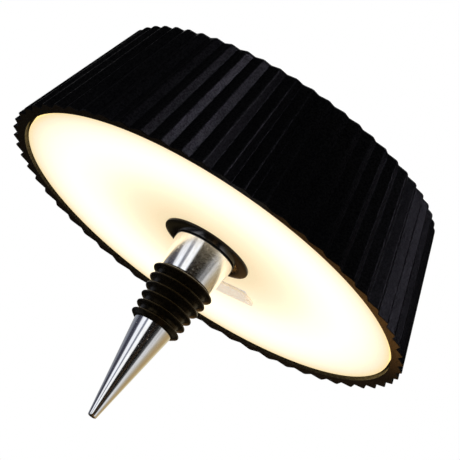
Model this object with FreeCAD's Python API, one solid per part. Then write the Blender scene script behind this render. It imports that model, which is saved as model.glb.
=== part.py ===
import FreeCAD, Part
import math
import os

# Bottle top lamp: a pleated shade on a tapered stopper. Millimetres, +Z up along the lamp's axis.
# The origin is on the axis in the plane of the bottle's mouth, under the stopper's widest rib.

os.makedirs("parts", exist_ok=True)

Vector = FreeCAD.Vector
UP = Vector(0, 0, 1)

# General fits
seat_gap = 0.3            # between a piece and the pocket that holds it
hole_gap = 0.1            # between a screw's shank and a clearance hole
running_gap = 0.08        # radial, between the stud and its threaded bush

# Stopper
rib_count = 6
rib_pitch = 3.48
top_rib_radius = 11.8
bottom_rib_radius = 9.5
rib_taper_power = 1.5     # the ribs shrink fast below the mouth, then slowly
top_rib_height = 0.9      # middle of the widest rib above the bottle's mouth
rib_lip = 0.7             # thickness of a rib at its rounded lip
rib_root = 2.3            # thickness of a rib where it leaves the sleeve
groove_depth = 2.4        # from a rib's lip down to the sleeve's wall
sleeve_above_rib = 1.4    # the sleeve's plain end above the top rib
sleeve_below_rib = 1.7    # the sleeve's plain end below the bottom rib
core_radius = 6.0         # spigot of the cone inside the sleeve
neck_top_radius = 11.76
neck_bottom_radius = 9.7
neck_top_height = 14.9
neck_edge = 0.3
cone_top_radius = 7.28
cone_tip_radius = 1.66
cone_tip_height = -56.3
cone_tip_round = 0.6
stud_radius = 3.95
stud_reach_down = 14.0    # length of stud inside the neck and cone below the mouth
stud_engagement = 13.1    # length of stud above the neck, inside the lamp head
stud_chamfer = 0.8
washer_thickness = 0.3
washer_radius = 11.2
washer_bore_radius = 4.4

# Shade
rim_height = 16.0         # the shade's bottom rim above the bottle's mouth
shade_height = 48.7
rim_tip_radius = 80.5     # to the pleats' outer edges at the bottom rim, before they are rounded
top_tip_radius = 63.3     # the same at the top
pleat_count = 60
pleat_depth_rim = 2.25
pleat_depth_top = 1.78
pleat_valley_share = 0.42  # the narrow face takes this share of a pleat
pleat_phase = 5.575        # azimuth of one outer edge, degrees
pleat_tip_round = 1.4
pleat_valley_round = 0.6
top_edge_round = 1.0
rim_edge_round = 0.25
shade_wall = 2.4          # behind the valleys
rim_land = 2.95           # plain face from the valleys in to the opening
opening_radius = rim_tip_radius - pleat_depth_rim - rim_land
lip_width = 3.8
lip_thickness = 2.0
lip_inner_radius = opening_radius - lip_width
boss_radius = 3.6
boss_count = 4
boss_web = 1.8
pilot_depth = 12.0

# Top cover and button
top_land = 3.8            # from the valleys in to the cover
cover_radius = top_tip_radius - pleat_depth_top - top_land
cover_thickness = 3.2
cover_recess = 0.8        # the cover lies this far below the shade's top
cover_edge = 0.6
ledge_thickness = 2.0
ledge_width = 5.2
ledge_inner_radius = cover_radius - ledge_width
cover_screw_circle = cover_radius - 2.1
cover_screw_radius = 1.2
cover_screw_head = 2.3
cover_screw_head_height = 1.6
cover_screw_length = ledge_thickness + cover_thickness - 0.8
button_radius = 10.0
button_proud = 0.6
button_travel = 0.5
button_flange = 1.6       # how far the cap's flange reaches under the cover
button_flange_thickness = 1.3
button_round = 0.5
ring_width = 2.2
ring_depth = 1.0
ring_proud = 0.3
switch_board_length = 36.0
switch_board_width = 14.0
switch_size = 6.0
switch_height = 3.4
switch_plunger_radius = 1.7
switch_plunger_proud = 1.2
switch_plunger_depth = 1.6
stem_radius = 2.2
stem_length = 0.7
switch_post_offset = 14.8
switch_post_radius = 2.6
switch_screw_radius = 0.95
switch_screw_head = 1.8
switch_screw_head_height = 1.2
switch_screw_length = 5.0

# Diffuser and collar
diffuser_edge_gap = 1.0
diffuser_radius = opening_radius - diffuser_edge_gap
diffuser_thickness = 2.0
diffuser_recess = 0.75    # below the rim's face, into the shade
collar_radius = 16.85
collar_edge = 0.85
collar_hub_radius = 12.2
collar_shank_radius = 11.0
collar_bore_radius = 4.6
collar_screw_circle = 7.9
collar_screw_count = 3
collar_screw_radius = 1.4
collar_screw_head = 2.7
collar_screw_length = 11.0

# Inner frame
tray_height = 17.0        # underside of the tray above the rim
tray_thickness = 2.0
tray_skirt = 1.6
tray_screw_radius = 1.4
tray_screw_head = 2.8
tray_screw_head_height = 1.8
tray_screw_length = tray_thickness + pilot_depth - 3.0
column_radius = 13.0
column_flange_radius = 20.5
column_flange = 2.5
column_screw_circle = 16.9
column_screw_angles = (20, 160, 200, 340)
column_screw_radius = 1.4
column_screw_head = 2.7
column_screw_head_height = 1.6
insert_radius = 5.9
insert_length = 11.0
board = 1.2               # thickness of the small circuit boards
board_screw_radius = 0.95
board_screw_head = 1.9
board_screw_head_height = 1.1
board_screw_length = 5.0

# Light source
led_board_inner = 38.0
led_board_outer = 52.0
led_circle = (led_board_inner + led_board_outer) / 2
tray_flat_radius = led_board_outer + 9.5
boss_circle_radius = tray_flat_radius - 5.5
led_count = 36
led_long = 3.5
led_wide = 2.8
led_high = 0.7

# Battery
cell_radius = 9.2
cell_length = 65.0
cell_offset = 26.0        # from the lamp's axis to each cell's axis
cell_gap = 0.2
cradle_wall = 1.6
cradle_floor = 1.4
cradle_hold = 3.2         # how far the cradle's walls pass the cell's middle
contact_thickness = 0.3
contact_width = 8.0
contact_top = 4.6         # contact's top edge above the cell's axis

# Driver board
driver_length = 60.0
driver_width = 29.0
driver_board_thickness = 1.6
standoff_height = 4.0
standoff_radius = 2.6
standoff_x = driver_length / 2 - 4.0
standoff_y = driver_width / 2 - 5.0
inductor_size = 10.0
inductor_high = 4.6
inductor_x = -14.0
capacitor_radius = 3.15
capacitor_high = 7.0
capacitor_x = -1.0
capacitor_y = 5.0
chip_long = 5.0
chip_wide = 4.0
chip_high = 1.5
chip_x = 7.0
chip_y = 6.0

# Charging port, on the diffuser beside the collar
port_circle = 30.4
port_azimuth = 59.0
port_long = 15.0
port_wide = 10.0
port_wall = 1.0
port_mouth_long = 10.4
port_mouth_wide = 5.6
socket_long = 8.94
socket_wide = 3.2
socket_deep = 7.3
socket_skin = 0.3
charge_board_width = 12.6
charge_board_thickness = 1.0
rail = 0.8                # rails in the sleeve that hold the charge board's edges
charge_lead_hole = (-7.5, -12.6)  # from the port's middle: outwards, then round the axis
charge_lead_spacing = 1.6
window_half = 3.0
flap_long = 17.0
flap_wide = 9.0
flap_thick = 0.9
flap_inner_corner = 5.4   # round of the free end's corner nearer the collar
flap_outer_corner = 2.0
flap_plug_long = 7.6
flap_plug_wide = 1.9
flap_plug_high = 1.1
flap_lip_long = 1.4
flap_lip_wide = 3.0
flap_lip_offset = 1.4     # the lip's middle, outwards from the flap's
flap_lip_high = 0.6
strap_long = 3.4
peg_radius = 1.0

# Wires
wire_radius = 0.55
wire_bend = 2.4
battery_lead_foot = driver_length / 2 - 7.5
switch_lead_head = 9.5
switch_lead_foot = 13.0
lead_hole_radius = 2.2
lead_spacing = 2.0
led_lead_hole = (driver_length / 2 - 2.0, 0.0)

# Heights that follow from the sizes above
shade_top = rim_height + shade_height
rib_middle = [top_rib_height - rib_pitch * k for k in range(rib_count)]
sleeve_top = rib_middle[0] + sleeve_above_rib
sleeve_bottom = rib_middle[-1] - sleeve_below_rib
hub_height = neck_top_height + washer_thickness
diffuser_low = rim_height + diffuser_recess
diffuser_high = diffuser_low + diffuser_thickness
lip_high = diffuser_high + lip_thickness
tray_low = rim_height + tray_height
tray_high = tray_low + tray_thickness
cover_high = shade_top - cover_recess
cover_low = cover_high - cover_thickness
ledge_low = cover_low - ledge_thickness
flange_low = cover_low - button_flange_thickness
stem_low = flange_low - stem_length
switch_top = stem_low - switch_plunger_proud
switch_low = switch_top - switch_height
switch_board_low = switch_low - board
led_board_low = tray_low - board
column_flange_low = tray_low - column_flange
cell_height = tray_high + cradle_floor + cell_gap + cell_radius
driver_low = tray_high + standoff_height
driver_high = driver_low + driver_board_thickness


# Plain shapes

def cylinder(radius, low, high, x=0.0, y=0.0):
    return Part.makeCylinder(radius, high - low, Vector(x, y, low), UP)


def box(x0, x1, y0, y1, z0, z1):
    return Part.makeBox(x1 - x0, y1 - y0, z1 - z0, Vector(x0, y0, z0))


def tube(outer, inner, low, high, x=0.0, y=0.0):
    return cylinder(outer, low, high, x, y).cut(cylinder(inner, low - 1, high + 1, x, y))


def turned(points):
    """A solid turned about the axis from (radius, height) points."""
    corners = [Vector(r, 0, z) for r, z in points]
    wire = Part.makePolygon(corners + [corners[0]])
    return Part.Face(wire).revolve(Vector(0, 0, 0), UP, 360)


def polar(radius, degrees):
    return radius * math.cos(math.radians(degrees)), radius * math.sin(math.radians(degrees))


def at_port(shape):
    """Moves a shape made about the origin, with X outwards, to the charging port."""
    placed = shape.copy()
    placed.translate(Vector(port_circle, 0, 0))
    placed.rotate(Vector(0, 0, 0), UP, port_azimuth)
    return placed


def screw(x, y, seat, length, shank, head, head_height, direction=1):
    """A pan-head screw: its head's flat lies at seat and the shank runs along direction in Z."""
    far = seat + direction * length
    back = seat - direction * head_height
    body = cylinder(shank, min(seat, far), max(seat, far), x, y)
    cap = cylinder(head, min(seat, back), max(seat, back), x, y)
    socket_end = back + direction * head_height * 0.5
    socket_low = min(back - direction, socket_end)
    socket_high = max(back - direction, socket_end)
    corners = []
    for k in range(7):
        dx, dy = polar(head * 0.5, 60 * k)
        corners.append(Vector(x + dx, y + dy, socket_low))
    socket = Part.Face(Part.makePolygon(corners)).extrude(UP * (socket_high - socket_low))
    return body.fuse(cap).cut(socket).removeSplitter()


def lead(points, radius=wire_radius, bend=wire_bend):
    """A wire through the points: straight runs joined by tangent arcs."""
    places = [Vector(*p) for p in points]
    edges = []
    start = places[0]
    for before, corner, after in zip(places, places[1:], places[2:]):
        towards = (before - corner).normalize()
        onwards = (after - corner).normalize()
        half = towards.getAngle(onwards) / 2
        shorter = min(before.distanceToPoint(corner), corner.distanceToPoint(after))
        reach = min(bend / math.tan(half), 0.45 * shorter)
        turn = reach * math.tan(half)
        first = corner + towards * reach
        last = corner + onwards * reach
        inward = (towards + onwards).normalize()
        middle = corner + inward * (turn / math.sin(half) - turn)
        edges.append(Part.LineSegment(start, first).toShape())
        edges.append(Part.Arc(first, middle, last).toShape())
        start = last
    edges.append(Part.LineSegment(start, places[-1]).toShape())
    path = Part.Wire(edges)
    direction = (places[1] - places[0]).normalize()
    ring = Part.Wire([Part.makeCircle(radius, places[0], direction)])
    return path.makePipeShell([ring], True, False)


def save(node, shape):
    solids = shape.Solids
    if len(solids) == 1:
        solids[0].exportStep("parts/" + node + ".step")
    else:
        Part.makeCompound(solids).exportStep("parts/" + node + ".step")
    print(node, len(solids), round(shape.Volume, 1), shape.isValid())


# Stopper

def rib_radius(k):
    share = 1 - k / (rib_count - 1)
    return bottom_rib_radius + (top_rib_radius - bottom_rib_radius) * share ** rib_taper_power


def neck():
    low, high = sleeve_top, neck_top_height
    body = turned([(0, low), (neck_bottom_radius, low), (neck_top_radius, high - neck_edge),
                   (neck_top_radius - neck_edge, high), (0, high)])
    return body.cut(cylinder(stud_radius + hole_gap / 2, low - 1, high + 1))


def rubber_sleeve():
    inner = core_radius + hole_gap
    profile = [Vector(inner, 0, sleeve_top), Vector(neck_bottom_radius, 0, sleeve_top)]
    edges = []

    def line_to(radius, height):
        edges.append(Part.LineSegment(profile[-1], Vector(radius, 0, height)).toShape())
        profile.append(Vector(radius, 0, height))

    edges.append(Part.LineSegment(profile[0], profile[1]).toShape())
    for k in range(rib_count):
        lip = rib_radius(k)
        middle = rib_middle[k]
        half_lip = rib_lip / 2
        wall = lip - groove_depth
        if k > 0:
            line_to(wall, middle + rib_root / 2)
        line_to(lip - half_lip, middle + half_lip)
        over = Vector(lip, 0, middle)
        end = Vector(lip - half_lip, 0, middle - half_lip)
        edges.append(Part.Arc(profile[-1], over, end).toShape())
        profile.append(end)
        line_to(wall, middle - rib_root / 2)
    line_to(cone_top_radius + seat_gap, sleeve_bottom + sleeve_below_rib * 0.2)
    line_to(cone_top_radius, sleeve_bottom)
    line_to(inner, sleeve_bottom)
    edges.append(Part.LineSegment(profile[-1], profile[0]).toShape())
    return Part.Face(Part.Wire(edges)).revolve(Vector(0, 0, 0), UP, 360)


def cone():
    body = turned([(0, cone_tip_height), (cone_tip_radius, cone_tip_height),
                   (cone_top_radius, sleeve_bottom), (core_radius, sleeve_bottom),
                   (core_radius, sleeve_top), (0, sleeve_top)])
    tip = [e for e in body.Edges if abs(e.BoundBox.ZMax - cone_tip_height) < 0.01
           and e.BoundBox.ZLength < 0.01 and e.Length > 1]
    body = body.makeFillet(cone_tip_round, tip)
    return body.cut(cylinder(stud_radius + hole_gap / 2, -stud_reach_down, sleeve_top + 1))


def stud():
    low, high = -stud_reach_down + hole_gap, neck_top_height + stud_engagement
    small = stud_radius - stud_chamfer
    return turned([(0, low), (small, low), (stud_radius, low + stud_chamfer),
                   (stud_radius, high - stud_chamfer), (small, high), (0, high)])


def slip_washer():
    return tube(washer_radius, washer_bore_radius, neck_top_height, hub_height)


# Shade

def pleat_wire(tip, depth, height, scale):
    """One closed line round the pleats at a height: sharp faces with rounded edges and valleys."""
    step = 360.0 / pleat_count
    corners = []
    for k in range(pleat_count):
        corners.append((polar(tip, pleat_phase + step * k), pleat_tip_round * scale))
        corners.append((polar(tip - depth, pleat_phase + step * (k + pleat_valley_share)),
                        pleat_valley_round * scale))
    count = len(corners)
    cuts = []
    for k in range(count):
        (x, y), radius = corners[k]
        here = Vector(x, y, height)
        before = Vector(*corners[k - 1][0], height)
        after = Vector(*corners[(k + 1) % count][0], height)
        towards = (before - here).normalize()
        onwards = (after - here).normalize()
        half = towards.getAngle(onwards) / 2
        reach = radius / math.tan(half)
        inward = (towards + onwards).normalize()
        middle = here + inward * (radius / math.sin(half) - radius)
        cuts.append((here + towards * reach, middle, here + onwards * reach))
    edges = []
    for k in range(count):
        first, middle, last = cuts[k]
        edges.append(Part.Arc(first, middle, last).toShape())
        edges.append(Part.LineSegment(last, cuts[(k + 1) % count][0]).toShape())
    return Part.Wire(edges)


def valley_radius(height):
    """Radius of the pleats' valleys at a height."""
    share = (height - rim_height) / shade_height
    low = rim_tip_radius - pleat_depth_rim
    high = top_tip_radius - pleat_depth_top
    return low + (high - low) * share


def inner_radius(height):
    return valley_radius(height) - shade_wall


def boss_angles():
    return [360.0 / boss_count * k for k in range(boss_count)]


def cover_screw_angles():
    return [a + 180.0 / boss_count for a in boss_angles()]


def pleats_at(height, inset):
    """The pleats' line at a height, drawn in by inset where an edge of the shade is rounded."""
    share = (height - rim_height) / shade_height
    tip = rim_tip_radius + (top_tip_radius - rim_tip_radius) * share
    depth = pleat_depth_rim + (pleat_depth_top - pleat_depth_rim) * share
    return pleat_wire(tip - inset, depth, height, tip / rim_tip_radius)


def pleated_outside():
    wires = []
    for turn in (90, 45, 0):
        angle = math.radians(turn)
        wires.append(pleats_at(rim_height + rim_edge_round * (1 - math.sin(angle)),
                               rim_edge_round * (1 - math.cos(angle))))
    for turn in (0, 30, 60, 90):
        angle = math.radians(turn)
        wires.append(pleats_at(shade_top - top_edge_round * (1 - math.sin(angle)),
                               top_edge_round * (1 - math.cos(angle))))
    return Part.makeLoft(wires, True, True)


def shade():
    outside = pleated_outside()
    pocket = cover_radius + seat_gap
    hollow = turned([(0, rim_height - 1), (opening_radius, rim_height - 1), (opening_radius, diffuser_high),
                     (lip_inner_radius, diffuser_high), (lip_inner_radius, lip_high),
                     (inner_radius(lip_high), lip_high), (inner_radius(ledge_low), ledge_low),
                     (ledge_inner_radius, ledge_low), (ledge_inner_radius, cover_low),
                     (pocket, cover_low), (pocket, shade_top + 1), (0, shade_top + 1)])
    for angle in boss_angles():
        x, y = polar(boss_circle_radius, angle)
        boss = cylinder(boss_radius, tray_high, ledge_low + 0.5, x, y)
        web = box(boss_circle_radius, inner_radius(tray_high) + 1, -boss_web / 2, boss_web / 2,
                  tray_high, ledge_low + 0.5)
        web.rotate(Vector(0, 0, 0), UP, angle)
        hollow = hollow.cut(boss.fuse(web))
    body = outside.cut(hollow)
    for angle in boss_angles():
        x, y = polar(boss_circle_radius, angle)
        body = body.cut(cylinder(tray_screw_radius + hole_gap, tray_high - 1, tray_high + pilot_depth, x, y))
    for angle in cover_screw_angles():
        x, y = polar(cover_screw_circle, angle)
        body = body.cut(cylinder(cover_screw_radius + hole_gap, ledge_low - 1, cover_low + 0.5, x, y))
    return body


# Top cover and button

def top_cover():
    body = turned([(0, cover_low), (cover_radius, cover_low), (cover_radius, cover_high - cover_edge),
                   (cover_radius - cover_edge, cover_high), (0, cover_high)])
    for side in (-1, 1):
        x = side * switch_post_offset
        post = cylinder(switch_post_radius, switch_low, cover_low + 0.5, x, 0)
        body = body.fuse(post)
        body = body.cut(cylinder(switch_screw_radius + hole_gap, switch_low - 1,
                                 switch_low + switch_screw_length, x, 0))
    hole = button_radius + seat_gap
    body = body.cut(cylinder(hole, cover_low - 1, cover_high + 1))
    body = body.cut(cylinder(hole + ring_width + hole_gap, cover_high - ring_depth, cover_high + 1))
    for angle in cover_screw_angles():
        x, y = polar(cover_screw_circle, angle)
        body = body.cut(cylinder(cover_screw_radius + hole_gap, cover_low - 1,
                                 ledge_low + cover_screw_length + seat_gap, x, y))
    return body


def cover_screws():
    shapes = []
    for angle in cover_screw_angles():
        x, y = polar(cover_screw_circle, angle)
        shapes.append(screw(x, y, ledge_low, cover_screw_length, cover_screw_radius,
                            cover_screw_head, cover_screw_head_height))
    return Part.makeCompound(shapes)


def button_ring():
    inner = button_radius + seat_gap
    outer = inner + ring_width
    low = cover_high - ring_depth
    high = cover_high + ring_proud
    edge = ring_proud * 0.8
    return turned([(inner, low), (outer, low), (outer, high - edge), (outer - edge, high),
                   (inner + edge, high), (inner, high - edge)])


def button_cap():
    high = cover_high + button_proud
    body = turned([(0, stem_low), (stem_radius, stem_low), (stem_radius, flange_low),
                   (button_radius + button_flange, flange_low), (button_radius + button_flange, cover_low),
                   (button_radius, cover_low), (button_radius, high), (0, high)])
    top = [e for e in body.Edges if abs(e.BoundBox.ZMin - high) < 0.01 and e.Length > button_radius]
    return body.makeFillet(button_round, top)


def switch_board():
    body = box(-switch_board_length / 2, switch_board_length / 2, -switch_board_width / 2,
               switch_board_width / 2, switch_board_low, switch_low)
    for side in (-1, 1):
        body = body.cut(cylinder(switch_screw_radius + hole_gap, switch_board_low - 1, switch_low + 1,
                                 side * switch_post_offset, 0))
    return body


def switch_screws():
    shapes = []
    for side in (-1, 1):
        shapes.append(screw(side * switch_post_offset, 0, switch_board_low, switch_screw_length,
                            switch_screw_radius, switch_screw_head, switch_screw_head_height))
    return Part.makeCompound(shapes)


def tact_switch():
    half = switch_size / 2
    body = box(-half, half, -half, half, switch_low, switch_top)
    bore = switch_plunger_radius + hole_gap
    deep = switch_top - switch_plunger_depth - button_travel - seat_gap
    return body.cut(cylinder(bore, deep, switch_top + 1))


def switch_plunger():
    return cylinder(switch_plunger_radius, switch_top - switch_plunger_depth, stem_low)


# Diffuser and collar

def diffuser():
    body = turned([(collar_shank_radius + seat_gap, diffuser_low), (diffuser_radius - 0.3, diffuser_low),
                   (diffuser_radius, diffuser_low + 0.3), (diffuser_radius, diffuser_high),
                   (collar_shank_radius + seat_gap, diffuser_high)])
    gap = hole_gap
    cut_out = box(-port_wide / 2 - gap, port_wide / 2 + gap, -port_long / 2 - gap, port_long / 2 + gap,
                  diffuser_low - 1, diffuser_high + 1)
    body = body.cut(at_port(cut_out))
    peg_hole = cylinder(peg_radius + gap, diffuser_low - 1, diffuser_high + 1, 0, strap_middle())
    return body.cut(at_port(peg_hole))


def collar():
    flange = diffuser_low
    edge = flange - collar_edge
    rise = edge - hub_height
    sweep = []
    steps = 6
    for k in range(steps + 1):
        share = k / steps
        radius = collar_radius - (collar_radius - collar_hub_radius) * share
        sweep.append((radius, edge - rise * share ** 2.2))
    points = [(collar_bore_radius, diffuser_high), (collar_shank_radius, diffuser_high),
              (collar_shank_radius, flange), (collar_radius, flange)]
    points += sweep + [(collar_bore_radius, hub_height)]
    body = turned(points)
    for x, y in collar_screw_places():
        body = body.cut(cylinder(collar_screw_radius + hole_gap, hub_height - 1, diffuser_high + 1, x, y))
        body = body.cut(countersink(x, y, hole_gap))
    return body


def collar_screw_places():
    step = 360.0 / collar_screw_count
    return [polar(collar_screw_circle, 30 + step * k) for k in range(collar_screw_count)]


def countersink(x, y, gap=0.0):
    """The cone of a countersunk head, flush with the collar's hub."""
    deep = collar_screw_head - collar_screw_radius
    return Part.makeCone(collar_screw_head + gap, collar_screw_radius + gap, deep, Vector(x, y, hub_height), UP)


def collar_screws():
    shapes = []
    for x, y in collar_screw_places():
        shank = cylinder(collar_screw_radius, hub_height + 0.5, hub_height + collar_screw_length, x, y)
        body = shank.fuse(countersink(x, y))
        slot = cylinder(collar_screw_head * 0.35, hub_height - 1, hub_height + 0.7, x, y)
        shapes.append(body.cut(slot))
    return Part.makeCompound(shapes)


# Inner frame

def light_tray():
    skirt_foot = inner_radius(lip_high) - seat_gap
    body = turned([(0, tray_low), (tray_flat_radius - tray_skirt, tray_low),
                   (skirt_foot - tray_skirt, lip_high), (skirt_foot, lip_high),
                   (tray_flat_radius, tray_high), (0, tray_high)])
    for x in (-standoff_x, standoff_x):
        for y in (-standoff_y, standoff_y):
            body = body.fuse(cylinder(standoff_radius, tray_high - 0.5, driver_low, x, y))
            body = body.cut(cylinder(board_screw_radius + hole_gap, tray_low + 0.5, driver_low + 1, x, y))
    for angle in boss_angles():
        x, y = polar(boss_circle_radius, angle)
        body = body.cut(cylinder(tray_screw_radius + hole_gap, tray_low - 1, tray_high + 1, x, y))
    for angle in column_screw_angles:
        x, y = polar(column_screw_circle, angle)
        body = body.cut(cylinder(column_screw_radius + hole_gap, tray_low - 1, tray_high + 1, x, y))
    for angle in led_screw_angles():
        x, y = polar(led_circle, angle)
        body = body.cut(cylinder(board_screw_radius + hole_gap, tray_low - 1, tray_low + 1.6, x, y))
    hole = cylinder(lead_hole_radius, tray_low - 1, tray_high + 1)
    body = body.cut(hole.translated(Vector(*led_lead_hole, 0)))
    return body.cut(at_port(hole.translated(Vector(*charge_lead_hole, 0))))


def tray_screws():
    shapes = []
    for angle in boss_angles():
        x, y = polar(boss_circle_radius, angle)
        shapes.append(screw(x, y, tray_low, tray_screw_length, tray_screw_radius,
                            tray_screw_head, tray_screw_head_height))
    return Part.makeCompound(shapes)


def centre_column():
    body = turned([(stud_bore(), diffuser_high), (column_radius, diffuser_high),
                   (column_radius, column_flange_low), (column_flange_radius, column_flange_low),
                   (column_flange_radius, tray_low), (stud_bore(), tray_low)])
    body = body.cut(cylinder(insert_radius + hole_gap / 2, diffuser_high - 1, diffuser_high + insert_length))
    for x, y in collar_screw_places():
        body = body.cut(cylinder(collar_screw_radius + hole_gap, diffuser_high - 1,
                                 hub_height + collar_screw_length + 0.5, x, y))
    for angle in column_screw_angles:
        x, y = polar(column_screw_circle, angle)
        body = body.cut(cylinder(column_screw_radius + hole_gap, column_flange_low - 1, tray_low + 1, x, y))
    return body


def stud_bore():
    """The clearance bore for the stud's free end above the threaded insert."""
    return stud_radius + seat_gap


def threaded_insert():
    return tube(insert_radius, stud_radius + running_gap, diffuser_high, diffuser_high + insert_length)


def column_screws():
    shapes = []
    for angle in column_screw_angles:
        x, y = polar(column_screw_circle, angle)
        shapes.append(screw(x, y, tray_high, tray_thickness + column_flange, column_screw_radius,
                            column_screw_head, column_screw_head_height, -1))
    return Part.makeCompound(shapes)


# Light source

def led_step():
    return 360.0 / led_count


def led_screw_angles():
    return [led_step() * (led_count / 4 * k + 0.5) for k in range(4)]


def led_board():
    body = tube(led_board_outer, led_board_inner, led_board_low, tray_low)
    for angle in led_screw_angles():
        x, y = polar(led_circle, angle)
        body = body.cut(cylinder(board_screw_radius + hole_gap, led_board_low - 1, tray_low + 1, x, y))
    return body


def leds():
    shapes = []
    for k in range(led_count):
        chip = box(-led_long / 2, led_long / 2, -led_wide / 2, led_wide / 2,
                   led_board_low - led_high, led_board_low)
        chip.translate(Vector(led_circle, 0, 0))
        chip.rotate(Vector(0, 0, 0), UP, led_step() * k)
        shapes.append(chip)
    return Part.makeCompound(shapes)


def led_board_screws():
    shapes = []
    for angle in led_screw_angles():
        x, y = polar(led_circle, angle)
        shapes.append(screw(x, y, led_board_low, board + 1.4, board_screw_radius,
                            board_screw_head, board_screw_head_height))
    return Part.makeCompound(shapes)


# Battery

def lying_cylinder(radius, length, y):
    return Part.makeCylinder(radius, length, Vector(-length / 2, y, cell_height), Vector(1, 0, 0))


def battery_cell(side):
    y = side * cell_offset
    body = lying_cylinder(cell_radius, cell_length, y)
    return body.makeFillet(0.8, [e for e in body.Edges if e.BoundBox.XLength < 0.01])


def inner_half_length():
    """Half the cradle's inside length: the cell and a contact at each end."""
    return cell_length / 2 + contact_thickness + 2 * hole_gap


def battery_cradle(side):
    y = side * cell_offset
    half_x = inner_half_length() + cradle_wall
    half_y = cell_radius + cell_gap + cradle_wall
    body = box(-half_x, half_x, y - half_y, y + half_y, tray_high, cell_height + cradle_hold)
    return body.cut(lying_cylinder(cell_radius + cell_gap, 2 * inner_half_length(), y))


def battery_contacts():
    shapes = []
    near = cell_length / 2 + hole_gap
    for side_x in (-1, 1):
        for side_y in (-1, 1):
            x0, x1 = sorted((side_x * near, side_x * (near + contact_thickness)))
            y = side_y * cell_offset
            shapes.append(box(x0, x1, y - contact_width / 2, y + contact_width / 2,
                              cell_height - contact_width / 2, cell_height + contact_top))
    return Part.makeCompound(shapes)


# Driver board

def driver_board():
    body = box(-driver_length / 2, driver_length / 2, -driver_width / 2, driver_width / 2,
               driver_low, driver_high)
    for x in (-standoff_x, standoff_x):
        for y in (-standoff_y, standoff_y):
            body = body.cut(cylinder(board_screw_radius + hole_gap, driver_low - 1, driver_high + 1, x, y))
    return body


def driver_screws():
    shapes = []
    for x in (-standoff_x, standoff_x):
        for y in (-standoff_y, standoff_y):
            shapes.append(screw(x, y, driver_high, board_screw_length, board_screw_radius,
                                board_screw_head, board_screw_head_height, -1))
    return Part.makeCompound(shapes)


def inductor():
    half = inductor_size / 2
    body = box(-half, half, -half, half, driver_high, driver_high + inductor_high)
    body.translate(Vector(inductor_x, 0, 0))
    edges = [e for e in body.Edges if e.BoundBox.ZLength > 1]
    return body.makeFillet(inductor_size * 0.16, edges)


def capacitors():
    shapes = []
    top = driver_high + capacitor_high
    for y in (-capacitor_y, capacitor_y):
        body = cylinder(capacitor_radius, driver_high, top, capacitor_x, y)
        shapes.append(body.makeFillet(0.5, [e for e in body.Edges if e.BoundBox.ZMin > top - 0.1]))
    return Part.makeCompound(shapes)


def driver_chips():
    shapes = []
    for y in (-chip_y, chip_y):
        shapes.append(box(chip_x - chip_wide / 2, chip_x + chip_wide / 2, y - chip_long / 2,
                          y + chip_long / 2, driver_high, driver_high + chip_high))
    return Part.makeCompound(shapes)


# Charging port

def strap_middle():
    return flap_long / 2 + seat_gap + strap_long / 2


def port_sleeve():
    long, wide = port_long / 2, port_wide / 2
    body = box(-wide, wide, -long, long, diffuser_low, tray_low)
    inside = box(-wide + port_wall, wide - port_wall, -long + port_wall, long - port_wall,
                 diffuser_low + port_wall, tray_low + 1)
    mouth = box(-port_mouth_wide / 2, port_mouth_wide / 2, -port_mouth_long / 2, port_mouth_long / 2,
                diffuser_low - 1, diffuser_low + port_wall + 1)
    window = box(-wide - 1, -wide + port_wall + 1, -window_half, window_half, tray_low - 3.5, tray_low + 1)
    body = body.cut(inside).cut(mouth).cut(window)
    near = socket_wide / 2 - hole_gap
    far = near + charge_board_thickness + 2 * hole_gap
    edge = long - port_wall
    for side in (-1, 1):
        y0, y1 = sorted((side * (edge - rail), side * (edge + port_wall / 2)))
        for x0 in (near - rail, far):
            body = body.fuse(box(x0, x0 + rail, y0, y1, diffuser_low + port_wall / 2, tray_low))
    return at_port(body)


def socket_low():
    return diffuser_low + port_wall + seat_gap


def usb_socket():
    low = socket_low()
    high = low + socket_deep
    shell = box(-socket_wide / 2, socket_wide / 2, -socket_long / 2, socket_long / 2, low, high)
    corners = [e for e in shell.Edges if e.BoundBox.ZLength > 1]
    shell = shell.makeFillet(socket_wide * 0.42, corners)
    mouth = box(-socket_wide / 2 + socket_skin, socket_wide / 2 - socket_skin,
                -socket_long / 2 + socket_skin, socket_long / 2 - socket_skin, low - 1, high - 1.6)
    rounded = [e for e in mouth.Edges if e.BoundBox.ZLength > 1]
    mouth = mouth.makeFillet((socket_wide / 2 - socket_skin) * 0.85, rounded)
    tongue = box(-0.35, 0.35, -3.35, 3.35, low + 0.9, high)
    return at_port(shell.cut(mouth).fuse(tongue))


def charge_board():
    near = socket_wide / 2
    half = charge_board_width / 2
    return at_port(box(near, near + charge_board_thickness, -half, half, socket_low() + 0.6,
                       tray_low - seat_gap))


def port_flap():
    low = diffuser_low - flap_thick
    body = box(-flap_wide / 2, flap_wide / 2, -flap_long / 2, flap_long / 2, low, diffuser_low)
    for side, corner in ((-1, flap_inner_corner), (1, flap_outer_corner)):
        edge = [e for e in body.Edges if e.BoundBox.ZLength > 0.5
                and e.BoundBox.YMax < 0.1 - flap_long / 2 and e.BoundBox.Center.x * side > 0]
        body = body.makeFillet(corner, edge)
    plug = box(-flap_plug_wide / 2, flap_plug_wide / 2, -flap_plug_long / 2, flap_plug_long / 2,
               diffuser_low - 0.2, diffuser_low + flap_plug_high)
    lip_start = -flap_long / 2 + 0.6
    lip = box(flap_lip_offset - flap_lip_wide / 2, flap_lip_offset + flap_lip_wide / 2, lip_start,
              lip_start + flap_lip_long, low - flap_lip_high, low + 0.2)
    return at_port(body.fuse(plug).fuse(lip).removeSplitter())


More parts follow.
